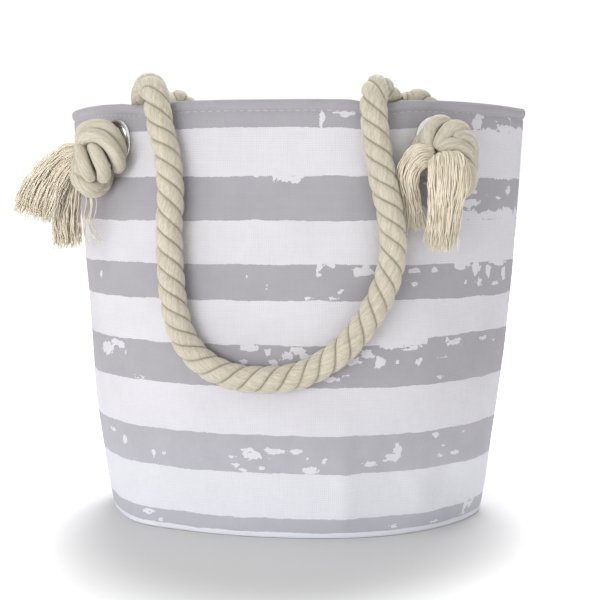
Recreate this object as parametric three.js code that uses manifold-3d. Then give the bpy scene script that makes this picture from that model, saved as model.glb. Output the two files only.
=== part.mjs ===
// A small canvas tote with twisted rope handles. Millimetres, +Z up, the front faces -Y.
// The origin is the middle of the base's underside.

import * as THREE from 'three';
import * as BufferGeometryUtils from 'three/addons/utils/BufferGeometryUtils.js';
import Module from 'manifold-3d';

const wasm = await Module();
wasm.setup();

// ---- driving dimensions -------------------------------------------------

const bagHeight = 215;
const bellyBulge = 10; // how far the walls bulge at half height

// The section of the bag at one height is |x / halfWidth|^flatness + |y / halfDepth|^roundness = 1.
const rimSection = { halfWidth: 125, halfDepth: 75, flatness: 3.6, roundness: 1.0 };
const baseSection = { halfWidth: 108, halfDepth: 74, flatness: 2.4, roundness: 1.6 };

const gap = 0.3; // clearance between neighbouring pieces
const canvasThickness = 1.2;
const liningThickness = 0.8;
const boardThickness = 2.0;
const hemStep = 1.0; // the lining ends this far below the rim

const liningInset = canvasThickness + gap;
const plateInset = liningInset + liningThickness + gap;

const ropeRadius = 6.5;
const ropeSides = 10;
const ropeStep = 11; // length of one straight stretch of a rope's tube

const eyelet = {
  height: 197.5,
  boreRadius: 7.2,
  barrelRadius: 8.1,
  flangeRadius: 12.5,
  flangeThickness: 2.0,
  holeRadius: 8.5,
  washerRadius: 12.2,
  washerThickness: 0.8,
  segments: 20,
};

// How far through the wall each face of an eyelet lies, measured outward from the canvas's face.
const flangeUnderside = gap;
const flangeTop = flangeUnderside + eyelet.flangeThickness;
const washerTop = -(liningInset + liningThickness + gap);
const washerUnderside = washerTop - eyelet.washerThickness;
const clinchTop = washerUnderside - gap;
const clinchEnd = clinchTop - 1.1;

// Columns of the wall's mesh from the middle (0) to the side seam (1).
// The wall is one flat facet between the two eyelet columns, so that the eyelet sits on it.
const eyeletColumns = [0.38, 0.54];
const middleSteps = 5;
const sideSteps = 5;

// Heights of the wall's rows. Nothing breaks the facet between the last two.
const wallRows = [0, 12, 36, 66, 98, 130, 156, 178, bagHeight];

// ---- rope routes and knots, by hand -------------------------------------

// Centre line of the front handle: out of the left eyelet into the bag, up and over the rim,
// down the front in a U, and back over the rim to the right eyelet.
const frontRoute = [
  [-78.0, -55.7, 197.5],
  [-75.0, -51.7, 197.8],
  [-71.8, -47.3, 199.6],
  [-69.8, -44.8, 204.6],
  [-69.2, -46.2, 211.5],
  [-68.5, -52.0, 218.0],
  [-65.5, -60.3, 223.5],
  [-60.5, -69.0, 225.3],
  [-55.5, -77.0, 221.5],
  [-53.0, -81.4, 212.5],
  [-51.0, -82.8, 203.0],
  [-47.5, -84.5, 190.0],
  [-45.5, -86.7, 172.0],
  [-46.0, -88.2, 153.0],
  [-43.0, -89.8, 116.0],
  [-38.0, -90.4, 101.0],
  [-29.0, -91.2, 90.5],
  [-15.0, -91.8, 84.0],
  [1.5, -92.0, 82.5],
  [20.0, -91.6, 85.5],
  [35.0, -91.0, 94.0],
  [46.0, -89.6, 105.0],
  [54.0, -87.8, 117.0],
  [60.0, -85.8, 131.0],
  [62.5, -84.6, 145.0],
  [61.0, -84.2, 162.0],
  [57.0, -84.0, 180.0],
  [52.8, -81.4, 208.5],
  [52.6, -78.2, 218.0],
  [53.6, -71.0, 222.5],
  [57.2, -61.2, 219.0],
  [61.0, -55.8, 214.4],
  [65.5, -52.8, 215.2],
  [70.6, -50.0, 217.4],
  [75.4, -46.3, 215.0],
  [76.6, -43.4, 208.2],
  [74.8, -43.0, 201.6],
  [73.0, -46.4, 198.3],
  [75.0, -51.5, 197.5],
  [78.0, -55.7, 197.5],
];

// Centre line of the back handle. It lies over the back in the same way, and its arches stand higher.
const backRoute = [
  [78.0, 55.7, 197.5],
  [75.0, 51.7, 197.9],
  [71.3, 47.0, 200.0],
  [68.3, 44.0, 205.4],
  [67.0, 45.2, 212.3],
  [65.6, 51.0, 218.8],
  [63.4, 59.8, 222.5],
  [60.5, 69.0, 223.2],
  [57.5, 77.0, 219.5],
  [55.0, 81.6, 213.0],
  [52.5, 83.4, 203.0],
  [49.5, 84.6, 190.0],
  [47.5, 86.4, 172.0],
  [47.0, 88.0, 153.0],
  [46.5, 89.0, 136.0],
  [43.5, 89.8, 119.0],
  [37.0, 90.6, 104.0],
  [26.5, 91.4, 93.0],
  [13.0, 91.8, 87.5],
  [-2.0, 92.0, 86.5],
  [-17.5, 91.6, 90.0],
  [-31.5, 91.0, 98.0],
  [-43.0, 90.0, 110.0],
  [-51.5, 88.4, 124.0],
  [-56.5, 86.8, 139.0],
  [-58.0, 85.8, 155.0],
  [-57.0, 85.4, 171.0],
  [-56.0, 84.8, 186.0],
  [-58.5, 84.0, 199.0],
  [-63.5, 82.0, 210.0],
  [-69.5, 76.5, 218.5],
  [-75.5, 68.5, 225.0],
  [-80.5, 60.5, 229.5],
  [-83.0, 53.5, 226.0],
  [-82.5, 48.0, 218.5],
  [-80.5, 44.0, 211.0],
  [-76.3, 42.8, 204.3],
  [-73.0, 46.0, 199.2],
  [-75.0, 51.5, 197.5],
  [-78.0, 55.7, 197.5],
];

// Each handle's tube is split where it starts to bend over the rim and where it hangs free,
// given as numbers of points on its route: 32.5 is midway between two of them.
const handles = [
  { name: 'front_handle', route: frontRoute, splits: [4, 10, 27, 32.5], ends: ['left', 'right'] },
  { name: 'back_handle', route: backRoute, splits: [4, 10, 28, 35], ends: ['right', 'left'] },
];

// Knot and tassel outside each eyelet. The back corners repeat the front ones, turned half a turn,
// but for the back right tassel, which hangs down.
const leftKnot = { centre: [-84, -76.5, 190], radii: [12.5, 14.5, 19] };
const leftTassel = { from: [-95, -75, 193], to: [-120, -64, 151], radii: [6.5, 14] };
const hangingTassel = { from: [-94, -78, 190], to: [-98, -77, 146], radii: [6.5, 12] };
const rightKnot = { centre: [86.8, -76.6, 193], radii: [15.5, 14.5, 18] };
const rightTassel = { from: [83.5, -90, 186], to: [87, -84, 147], radii: [8, 12.5] };

const corners = [
  { name: 'front_left', side: -1, face: -1, knot: leftKnot, tassel: leftTassel, turned: false },
  { name: 'front_right', side: 1, face: -1, knot: rightKnot, tassel: rightTassel, turned: false },
  { name: 'back_right', side: 1, face: 1, knot: leftKnot, tassel: hangingTassel, turned: true },
  { name: 'back_left', side: -1, face: 1, knot: rightKnot, tassel: rightTassel, turned: true },
];

// ---- materials ----------------------------------------------------------

const finish = (color, roughness, metalness = 0) =>
  new THREE.MeshStandardMaterial({ color, roughness, metalness });

const printedCanvas = () => finish(0xcfccd3, 0.9);
const plainCanvas = () => finish(0xe4e2e4, 0.9);
const lining = () => finish(0xe6e2dc, 0.92);
const board = () => finish(0xb9a98c, 0.8);
const metal = () => finish(0xd8d8da, 0.2, 1);
const cottonRope = () => finish(0xdcd0b8, 0.95);
const cottonYarn = () => finish(0xd2c2a4, 0.95);

// ---- booleans -----------------------------------------------------------

/** A manifold-3d solid from a closed geometry. */
function solidOf(geometry) {
  const bare = geometry.index ? geometry.toNonIndexed() : geometry.clone();
  bare.deleteAttribute('normal');
  bare.deleteAttribute('uv');
  const merged = BufferGeometryUtils.mergeVertices(bare, 1e-4);
  const vertProperties = new Float32Array(merged.attributes.position.array);
  const triVerts = new Uint32Array(merged.index.array);
  return new wasm.Manifold(new wasm.Mesh({ numProp: 3, vertProperties, triVerts }));
}

/** A geometry from a manifold-3d solid. */
function geometryOf(solid) {
  const mesh = solid.getMesh();
  const geometry = new THREE.BufferGeometry();
  geometry.setAttribute('position', new THREE.Float32BufferAttribute(mesh.vertProperties, 3));
  geometry.setIndex(Array.from(mesh.triVerts));
  geometry.computeVertexNormals();
  return geometry;
}

/** The geometry with every one of the cutters taken away. */
function cut(geometry, cutters) {
  return geometryOf(cutters.reduce((left, cutter) => left.subtract(solidOf(cutter)), solidOf(geometry)));
}

// ---- the bag's wall -----------------------------------------------------

/** Half width, half depth and the two exponents of the section at height z. */
function sectionAt(z) {
  const up = z / bagHeight;
  const between = (key) => THREE.MathUtils.lerp(baseSection[key], rimSection[key], up);
  return {
    halfWidth: between('halfWidth'),
    halfDepth: between('halfDepth') + bellyBulge * 4 * up * (1 - up),
    flatness: between('flatness'),
    roundness: between('roundness'),
  };
}

/**
 * A point of the wall. column runs from -1 at the left side seam to 1 at the right one,
 * face is -1 on the front and 1 on the back, and inset is the depth below the canvas's face.
 */
function wallPoint(column, face, z, inset = 0) {
  const s = sectionAt(z);
  const x = (s.halfWidth - inset) * Math.sin((column * Math.PI) / 2);
  const share = Math.abs(x / (s.halfWidth - inset)) ** s.flatness;
  const depth = (s.halfDepth - inset) * Math.max(0, 1 - share) ** (1 / s.roundness);
  return new THREE.Vector3(x, face * (depth + gap / 2), z);
}

/** All columns from the left side seam to the right one. */
function wallColumns() {
  const [inner, outer] = eyeletColumns;
  const half = [];
  for (let i = 1; i <= middleSteps; i++) half.push((inner * i) / middleSteps);
  for (let i = 0; i <= sideSteps; i++) half.push(outer + ((1 - outer) * i) / sideSteps);
  return [...half.map((c) => -c).reverse(), 0, ...half];
}

/** Adds two triangles for the four-cornered face a, b, c, d, turned over when flipped. */
function addQuad(index, a, b, c, d, flipped) {
  if (flipped) index.push(a, c, b, a, d, c);
  else index.push(a, b, c, a, c, d);
}

/** Half of the bag's wall as a closed shell, between two insets and two heights. */
function wallShell(face, outerInset, innerInset, bottom, top) {
  const rows = [bottom, ...wallRows.slice(1, -1), top];
  const columns = wallColumns();
  const positions = [];
  const index = [];
  const perColumn = rows.length * 2;
  for (const column of columns) {
    for (const z of rows) positions.push(...wallPoint(column, face, z, outerInset));
    for (const z of [...rows].reverse()) positions.push(...wallPoint(column, face, z, innerInset));
  }
  const flipped = face > 0;
  for (let c = 0; c < columns.length - 1; c++) {
    for (let k = 0; k < perColumn; k++) {
      const here = c * perColumn;
      const next = (k + 1) % perColumn;
      const corners = [here + k, here + perColumn + k, here + perColumn + next, here + next];
      // The inner face's rows run downward, so its quads start one corner on and split the same way.
      if (k >= rows.length) corners.push(corners.shift());
      addQuad(index, ...corners, flipped);
    }
  }
  const last = (columns.length - 1) * perColumn;
  for (let k = 0; k < rows.length - 1; k++) {
    const across = perColumn - 1 - k;
    addQuad(index, k, k + 1, across - 1, across, flipped);
    addQuad(index, last + across, last + across - 1, last + k + 1, last + k, flipped);
  }
  const geometry = new THREE.BufferGeometry();
  geometry.setAttribute('position', new THREE.Float32BufferAttribute(positions, 3));
  geometry.setIndex(index);
  return geometry;
}

/** An oval plate that fills the bag's section at the base, less an inset. */
function ovalPlate(inset, bottom, thickness) {
  const columns = wallColumns();
  const front = columns.map((c) => wallPoint(c, -1, 0, inset));
  const back = columns.map((c) => wallPoint(c, 1, 0, inset)).reverse();
  const outline = new THREE.Shape([...front, ...back].map((p) => new THREE.Vector2(p.x, p.y)));
  const plate = new THREE.ExtrudeGeometry(outline, { depth: thickness, bevelEnabled: false });
  return plate.translate(0, 0, bottom);
}

// ---- eyelets ------------------------------------------------------------

/** Centre and outward normal of the eyelet on one corner's flat facet. */
function eyeletPlace(corner) {
  const [inner, outer] = eyeletColumns;
  const [low, high] = wallRows.slice(-2);
  const a = wallPoint(corner.side * inner, corner.face, low);
  const b = wallPoint(corner.side * outer, corner.face, low);
  const c = wallPoint(corner.side * inner, corner.face, high);
  const d = wallPoint(corner.side * outer, corner.face, high);
  const up = (eyelet.height - low) / (high - low);
  const centre = a.clone().lerp(b, 0.5).lerp(c.clone().lerp(d, 0.5), up);
  const across = b.clone().sub(a).add(d).sub(c);
  const upward = c.clone().sub(a).add(d).sub(b);
  const normal = across.cross(upward).normalize();
  if (normal.y * corner.face < 0) normal.negate();
  return { centre, normal };
}

/** Turns a shape made round +Y so that it stands at an eyelet, along its normal. */
function atEyelet(geometry, place) {
  const turn = new THREE.Quaternion().setFromUnitVectors(new THREE.Vector3(0, 1, 0), place.normal);
  return geometry.applyQuaternion(turn).translate(...place.centre);
}

/** A lathe from [radius, height] pairs that close on themselves. */
function ring(profile) {
  const closed = [...profile, profile[0]].map(([r, h]) => new THREE.Vector2(r, h));
  return new THREE.LatheGeometry(closed, eyelet.segments);
}

/** Flange, barrel and clinched lip of an eyelet. */
function eyeletShape() {
  const { boreRadius: bore, barrelRadius: barrel, flangeRadius: flange } = eyelet;
  return ring([
    [bore, clinchEnd + 0.3],
    [barrel + 0.4, clinchEnd],
    [barrel + 2.0, clinchEnd + 0.3],
    [barrel + 2.2, clinchTop],
    [barrel, clinchTop],
    [barrel, flangeUnderside],
    [flange, flangeUnderside],
    [flange - 0.3, flangeUnderside + 0.9],
    [flange - 1.6, flangeTop - 0.3],
    [bore + 2.2, flangeTop],
    [bore + 0.6, flangeTop - 0.4],
    [bore, flangeTop - 1.2],
  ]);
}

/** The washer that the lip is clinched over. */
function washerShape() {
  const inner = eyelet.barrelRadius + gap;
  const outer = eyelet.washerRadius;
  return ring([
    [inner, washerUnderside],
    [outer - 0.3, washerUnderside],
    [outer, washerUnderside + 0.3],
    [outer, washerTop],
    [inner, washerTop],
  ]);
}

/** What an eyelet's hole takes out of the canvas and the lining. */
function holeCutter(place) {
  const cutter = new THREE.CylinderGeometry(eyelet.holeRadius, eyelet.holeRadius, 12, eyelet.segments);
  return atEyelet(cutter, place);
}

// ---- rope ---------------------------------------------------------------

/** The stretch of a curve between two lengths along it. */
class Stretch extends THREE.Curve {
  constructor(whole, from, to) {
    super();
    this.whole = whole;
    this.from = from;
    this.to = to;
  }

  getPoint(t, target = new THREE.Vector3()) {
    const along = THREE.MathUtils.lerp(this.from, this.to, t);
    return this.whole.getPointAt(along / this.whole.getLength(), target);
  }
}

/** The whole route of a handle, with its two ends led out through the eyelets to their knots. */
function handleCurve(handle, places) {
  const ends = places.map(({ centre, normal }) => centre.clone().addScaledVector(normal, flangeTop));
  const points = handle.route.map((p) => new THREE.Vector3(...p));
  const curve = new THREE.CatmullRomCurve3([ends[0], ...points, ends[1]], false, 'centripetal');
  curve.arcLengthDivisions = 2000;
  return curve;
}

/** Length along a curve to one of its control points. */
function lengthTo(curve, point) {
  const lengths = curve.getLengths();
  return lengths[Math.round((point / (curve.points.length - 1)) * (lengths.length - 1))];
}

/** A plain round tube along a stretch of a handle. */
function ropeTube(curve, from, to) {
  const section = new THREE.Shape();
  for (let i = 0; i < ropeSides; i++) {
    const angle = (i / ropeSides) * Math.PI * 2;
    const point = [ropeRadius * Math.cos(angle), ropeRadius * Math.sin(angle)];
    if (i === 0) section.moveTo(...point);
    else section.lineTo(...point);
  }
  const steps = Math.max(3, Math.ceil((to - from) / ropeStep));
  return new THREE.ExtrudeGeometry(section, {
    steps,
    bevelEnabled: false,
    extrudePath: new Stretch(curve, from, to),
  });
}

// ---- knots and tassels --------------------------------------------------

/** The plain outer shape of a knot, a little larger when it is used to cut its tassel. */
function knotShape(corner, clearance = 0) {
  const { centre, radii } = corner.knot;
  const shape = new THREE.SphereGeometry(1, 14, 10);
  shape.scale(...radii.map((r) => r + clearance));
  shape.translate(...centre);
  return corner.turned ? shape.rotateZ(Math.PI) : shape;
}

/** Everything from just above an eyelet's flange inward, which a knot keeps clear of. */
function flangeCutter(place) {
  const size = 60;
  const block = new THREE.BoxGeometry(size, size, size);
  block.translate(0, flangeTop + gap - size / 2, 0);
  return atEyelet(block, place);
}

/** A frayed end as a plain cone, wider at its loose end. */
function tasselShape(corner) {
  const { from, to, radii } = corner.tassel;
  const start = new THREE.Vector3(...from);
  const end = new THREE.Vector3(...to);
  const length = start.distanceTo(end);
  const cone = new THREE.CylinderGeometry(radii[1], radii[0], length, 14, 1);
  const turn = new THREE.Quaternion().setFromUnitVectors(
    new THREE.Vector3(0, 1, 0),
    end.clone().sub(start).normalize(),
  );
  cone.applyQuaternion(turn).translate(...start.lerp(end, 0.5));
  return corner.turned ? cone.rotateZ(Math.PI) : cone;
}

// ---- assembly -----------------------------------------------------------

const beachBag = new THREE.Group();

/** Adds one named piece to a group. */
function add(group, name, geometry, material) {
  const mesh = new THREE.Mesh(geometry, material);
  mesh.name = name;
  group.add(mesh);
  return mesh;
}

/** The canvas outside: two printed panels and the oval base. */
function addCanvas(places) {
  const shell = new THREE.Group();
  const holes = places.map(holeCutter);
  const front = wallShell(-1, 0, canvasThickness, 0, bagHeight);
  const back = wallShell(1, 0, canvasThickness, 0, bagHeight);
  add(shell, 'front_panel', cut(front, holes), printedCanvas());
  add(shell, 'back_panel', cut(back, holes), printedCanvas());
  add(shell, 'base_panel', ovalPlate(liningInset, 0, canvasThickness), plainCanvas());
  beachBag.add(shell);
}

/** The lining, and the board between it and the base. */
function addLining(places) {
  const inside = new THREE.Group();
  const holes = places.map(holeCutter);
  const bottom = liningInset;
  const top = bagHeight - hemStep;
  const boardTop = bottom + boardThickness;
  const front = wallShell(-1, liningInset, liningInset + liningThickness, bottom, top);
  const back = wallShell(1, liningInset, liningInset + liningThickness, bottom, top);
  add(inside, 'lining_front', cut(front, holes), lining());
  add(inside, 'lining_back', cut(back, holes), lining());
  add(inside, 'base_stiffener', ovalPlate(plateInset, bottom, boardThickness), board());
  add(inside, 'lining_base', ovalPlate(plateInset, boardTop + gap, liningThickness), lining());
  beachBag.add(inside);
}

/** One corner's eyelet, washer, knot and tassel. */
function addCorner(corner, place) {
  const fittings = new THREE.Group();
  const knot = cut(knotShape(corner), [flangeCutter(place)]);
  const tassel = cut(tasselShape(corner), [knotShape(corner, gap), flangeCutter(place)]);
  add(fittings, `${corner.name}_eyelet`, atEyelet(eyeletShape(), place), metal());
  add(fittings, `${corner.name}_eyelet_washer`, atEyelet(washerShape(), place), metal());
  add(fittings, `${corner.name}_knot`, knot, cottonRope());
  add(fittings, `${corner.name}_tassel`, tassel, cottonYarn());
  beachBag.add(fittings);
}

/** One handle: an inner leg and a bend at each end, and the drape that hangs between them. */
function addHandle(handle, places) {
  const rope = new THREE.Group();
  const curve = handleCurve(handle, places);
  const [start, end] = handle.ends;
  const [inner, outer, farOuter, farInner] = handle.splits.map((p) => lengthTo(curve, p + 1));
  const total = curve.getLength();
  const stretches = [
    [`${handle.name}_${start}_inner_leg`, 0, inner],
    [`${handle.name}_${start}_bend`, inner + gap, outer],
    [`${handle.name}_drape`, outer + gap, farOuter],
    [`${handle.name}_${end}_bend`, farOuter + gap, farInner],
    [`${handle.name}_${end}_inner_leg`, farInner + gap, total],
  ];
  for (const [name, from, to] of stretches) add(rope, name, ropeTube(curve, from, to), cottonRope());
  beachBag.add(rope);
}

const places = corners.map(eyeletPlace);
addCanvas(places);
addLining(places);
corners.forEach((corner, i) => addCorner(corner, places[i]));
handles.forEach((handle, i) => addHandle(handle, places.slice(2 * i, 2 * i + 2)));

export default beachBag;
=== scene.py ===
"""A small canvas tote with twisted rope handles, dressed around its CAD frame. Metres, +Z up, front to -Y."""

import math
import random

import bpy
import numpy as np
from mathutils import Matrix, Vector, noise


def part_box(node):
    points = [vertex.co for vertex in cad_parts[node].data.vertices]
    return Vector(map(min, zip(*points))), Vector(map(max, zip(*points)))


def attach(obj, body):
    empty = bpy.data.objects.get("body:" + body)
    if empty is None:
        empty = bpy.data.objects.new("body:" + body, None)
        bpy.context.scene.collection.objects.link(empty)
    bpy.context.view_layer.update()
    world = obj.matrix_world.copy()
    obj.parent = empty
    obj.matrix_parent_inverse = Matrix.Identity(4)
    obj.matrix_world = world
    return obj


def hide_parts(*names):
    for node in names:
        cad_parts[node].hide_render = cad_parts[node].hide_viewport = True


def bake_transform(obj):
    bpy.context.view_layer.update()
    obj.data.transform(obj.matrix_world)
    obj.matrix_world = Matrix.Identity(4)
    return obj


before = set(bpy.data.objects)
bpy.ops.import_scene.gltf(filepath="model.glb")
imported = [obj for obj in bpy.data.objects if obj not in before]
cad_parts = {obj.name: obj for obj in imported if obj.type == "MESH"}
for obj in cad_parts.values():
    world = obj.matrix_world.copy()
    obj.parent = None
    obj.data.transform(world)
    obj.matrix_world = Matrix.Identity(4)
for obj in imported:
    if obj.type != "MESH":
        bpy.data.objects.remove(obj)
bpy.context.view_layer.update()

MM = 0.001

# ---- driving sizes, from the frame ----

PANEL_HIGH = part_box("front_panel")[1]
BAG_HEIGHT = PANEL_HIGH[2]
SEAM_GAP = 0.3 * MM  # between neighbouring pieces, as in the CAD
CANVAS = 1.2 * MM
LINING = 0.8 * MM
LINING_INSET = CANVAS + SEAM_GAP

RIM = {"half_width": PANEL_HIGH[0], "half_depth": 75 * MM, "flatness": 3.6, "roundness": 1.0}
BASE = {"half_width": 108 * MM, "half_depth": 74 * MM, "flatness": 2.4, "roundness": 1.6}
BELLY = 10 * MM

EYELET_HEIGHT = 197.5 * MM
EYELET_COLUMNS = (0.38, 0.54)  # the wall is flat between these two
EYELET_FACET_FOOT = 178 * MM  # and from this height to the rim
FLANGE_TOP = 2.3 * MM  # above the cloth
FLANGE_RADIUS = 12.5 * MM
HOLE_RADIUS = 9.3 * MM  # in the cloth, cut to whole cells and hidden by the flange

ROPE_RADIUS = 6.7 * MM  # over the crowns of its three strands
ROPE_LAY = 27 * MM  # length in which one strand goes once round
ROPE_STEP = 0.9 * MM  # between the rings of its mesh

# The handles' routes, in millimetres: the same points as the CAD model's.
FRONT_ROUTE = [
    (-78.0, -55.7, 197.5), (-75.0, -51.7, 197.8), (-71.8, -47.3, 199.6), (-69.8, -44.8, 204.6),
    (-69.2, -46.2, 211.5), (-68.5, -52.0, 218.0), (-65.5, -60.3, 223.5), (-60.5, -69.0, 225.3),
    (-55.5, -77.0, 221.5), (-53.0, -81.4, 212.5), (-51.0, -82.8, 203.0), (-47.5, -84.5, 190.0),
    (-45.5, -86.7, 172.0), (-46.0, -88.2, 153.0), (-43.0, -89.8, 116.0), (-38.0, -90.4, 101.0),
    (-29.0, -91.2, 90.5), (-15.0, -91.8, 84.0), (1.5, -92.0, 82.5), (20.0, -91.6, 85.5),
    (35.0, -91.0, 94.0), (46.0, -89.6, 105.0), (54.0, -87.8, 117.0), (60.0, -85.8, 131.0),
    (62.5, -84.6, 145.0), (61.0, -84.2, 162.0), (57.0, -84.0, 180.0), (52.8, -81.4, 208.5),
    (52.6, -78.2, 218.0), (53.6, -71.0, 222.5), (57.2, -61.2, 219.0), (61.0, -55.8, 214.4),
    (65.5, -52.8, 215.2), (70.6, -50.0, 217.4), (75.4, -46.3, 215.0), (76.6, -43.4, 208.2),
    (74.8, -43.0, 201.6), (73.0, -46.4, 198.3), (75.0, -51.5, 197.5), (78.0, -55.7, 197.5),
]
BACK_ROUTE = [
    (78.0, 55.7, 197.5), (75.0, 51.7, 197.9), (71.3, 47.0, 200.0), (68.3, 44.0, 205.4),
    (67.0, 45.2, 212.3), (65.6, 51.0, 218.8), (63.4, 59.8, 222.5), (60.5, 69.0, 223.2),
    (57.5, 77.0, 219.5), (55.0, 81.6, 213.0), (52.5, 83.4, 203.0), (49.5, 84.6, 190.0),
    (47.5, 86.4, 172.0), (47.0, 88.0, 153.0), (46.5, 89.0, 136.0), (43.5, 89.8, 119.0),
    (37.0, 90.6, 104.0), (26.5, 91.4, 93.0), (13.0, 91.8, 87.5), (-2.0, 92.0, 86.5),
    (-17.5, 91.6, 90.0), (-31.5, 91.0, 98.0), (-43.0, 90.0, 110.0), (-51.5, 88.4, 124.0),
    (-56.5, 86.8, 139.0), (-58.0, 85.8, 155.0), (-57.0, 85.4, 171.0), (-56.0, 84.8, 186.0),
    (-58.5, 84.0, 199.0), (-63.5, 82.0, 210.0), (-69.5, 76.5, 218.5), (-75.5, 68.5, 225.0),
    (-80.5, 60.5, 229.5), (-83.0, 53.5, 226.0), (-82.5, 48.0, 218.5), (-80.5, 44.0, 211.0),
    (-76.3, 42.8, 204.3), (-73.0, 46.0, 199.2), (-75.0, 51.5, 197.5), (-78.0, 55.7, 197.5),
]


# ---- camera ----

def make_camera():
    """The photograph's view: a little from the right, at about three quarters of the bag's height."""
    azimuth = math.radians(9.0)
    down = math.radians(4.5)
    distance, height, sideways = 0.663, 0.166, 0.0043
    ahead = Vector((-math.sin(azimuth), math.cos(azimuth), 0))
    right = Vector((math.cos(azimuth), math.sin(azimuth), 0))
    data = bpy.data.cameras.new("camera")
    data.lens = 72
    data.sensor_width = 36
    camera = bpy.data.objects.new("camera", data)
    bpy.context.scene.collection.objects.link(camera)
    camera.location = right * sideways - ahead * distance + Vector((0, 0, height))
    camera.rotation_euler = (math.pi / 2 - down, 0, azimuth)
    bpy.context.scene.camera = camera


# ---- mesh helpers ----

def mesh_object(name, points, faces, material, uv=None, smooth=True):
    """A mesh object from points and faces; uv gives two numbers for each point."""
    mesh = bpy.data.meshes.new(name)
    mesh.from_pydata([tuple(p) for p in points], [], [tuple(f) for f in faces])
    mesh.validate()
    if smooth:
        mesh.polygons.foreach_set("use_smooth", [True] * len(mesh.polygons))
    if uv is not None:
        layer = mesh.uv_layers.new(name="cloth")
        corner_points = np.empty(len(mesh.loops), int)
        mesh.loops.foreach_get("vertex_index", corner_points)
        layer.data.foreach_set("uv", np.asarray(uv, np.float32)[corner_points].ravel())
    mesh.materials.append(material)
    thing = bpy.data.objects.new(name, mesh)
    bpy.context.scene.collection.objects.link(thing)
    return thing


def add_attribute(thing, name, values):
    """Stores one number for each point of a mesh, for its material to read."""
    attribute = thing.data.attributes.new(name, "FLOAT", "POINT")
    attribute.data.foreach_set("value", np.asarray(values, np.float32))


def merge_meshes(parts):
    """Joins (points, faces, uv) triples into one."""
    points, faces, uvs = [], [], []
    for part_points, part_faces, part_uv in parts:
        first = len(points)
        points.extend(part_points)
        faces.extend([tuple(first + i for i in face) for face in part_faces])
        uvs.extend(part_uv)
    return points, faces, uvs


def tube_faces(rings, count, capped=False):
    """Quads between neighbouring rings of count points, with a flat face on each end if capped."""
    faces = []
    for i in range(rings - 1):
        for k in range(count):
            n = (k + 1) % count
            faces.append((i * count + k, i * count + n, (i + 1) * count + n, (i + 1) * count + k))
    if capped:
        faces.append(tuple(range(count))[::-1])
        faces.append(tuple((rings - 1) * count + k for k in range(count)))
    return faces


def fan_faces(first, count, middle, reverse):
    """Triangles from a ring of points to the point in its middle."""
    faces = [(first + k, first + (k + 1) % count, middle) for k in range(count)]
    return [face[::-1] for face in faces] if reverse else faces


def dress(piece, slot, *nodes):
    """Puts a piece on the bag's body, in the place of its CAD nodes, which it hides; slot is not used."""
    if nodes:
        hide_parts(*nodes)
    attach(piece, "bag")


def smooth_step(value, low, high):
    """0 below low, 1 above high, and an even curve between."""
    t = min(1.0, max(0.0, (value - low) / (high - low)))
    return t * t * (3 - 2 * t)


# ---- curves ----

def along_line(p, q, t_p, t_q, t):
    """The point at time t of a line that is at p at time t_p and at q at time t_q."""
    return p * (t_q - t) / (t_q - t_p) + q * (t - t_p) / (t_q - t_p)


def catmull_rom(points, per_span):
    """A centripetal Catmull-Rom curve through the points, as a dense array."""
    p = np.asarray(points, float)
    p = np.vstack([2 * p[0] - p[1], p, 2 * p[-1] - p[-2]])
    out = []
    for a, b, c, d in zip(p[:-3], p[1:-2], p[2:-1], p[3:]):
        t0 = 0.0
        t1 = t0 + math.sqrt(np.linalg.norm(b - a))
        t2 = t1 + math.sqrt(np.linalg.norm(c - b))
        t3 = t2 + math.sqrt(np.linalg.norm(d - c))
        for t in np.linspace(t1, t2, per_span, endpoint=False):
            ab = along_line(a, b, t0, t1, t)
            bc = along_line(b, c, t1, t2, t)
            cd = along_line(c, d, t2, t3, t)
            abc = along_line(ab, bc, t0, t2, t)
            bcd = along_line(bc, cd, t1, t3, t)
            out.append(along_line(abc, bcd, t1, t2, t))
    out.append(p[-2])
    return np.array(out)


def lengths_along(points):
    """How far along the curve each of its points is."""
    steps = np.linalg.norm(np.diff(points, axis=0), axis=1)
    return np.concatenate([[0.0], np.cumsum(steps)])


def resample(points, step):
    """The same curve with points an even step apart."""
    along = lengths_along(points)
    count = max(2, int(round(along[-1] / step)) + 1)
    wanted = np.linspace(0, along[-1], count)
    return np.stack([np.interp(wanted, along, points[:, i]) for i in range(3)], axis=1)


def transported_frames(points):
    """Two normals at each point, which turn as little as they can along the curve."""
    tangents = np.gradient(points, axis=0)
    tangents /= np.linalg.norm(tangents, axis=1)[:, None]
    side = np.cross(tangents[0], (0.0, 0.0, 1.0))
    if np.linalg.norm(side) < 0.1:
        side = np.cross(tangents[0], (0.0, 1.0, 0.0))
    normals = [side / np.linalg.norm(side)]
    for tangent in tangents[1:]:
        normal = normals[-1] - tangent * (normals[-1] @ tangent)
        normals.append(normal / np.linalg.norm(normal))
    normals = np.array(normals)
    return normals, np.cross(tangents, normals)


# ---- the bag's wall ----

# How far the side seams stand out of the CAD wall at heights up the bag, in mm.
LEFT_SEAM = [(0, -6.8), (8, -5.4), (20, -4.0), (40, -2.6), (60, -1.0), (90, -0.2), (215, 0)]
RIGHT_SEAM = [
    (0, -4.2), (8, -3.2), (20, -2.2), (40, -1.4), (60, -0.2), (90, 1.2), (130, 1.6), (180, 0.8), (215, 0),
]

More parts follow.
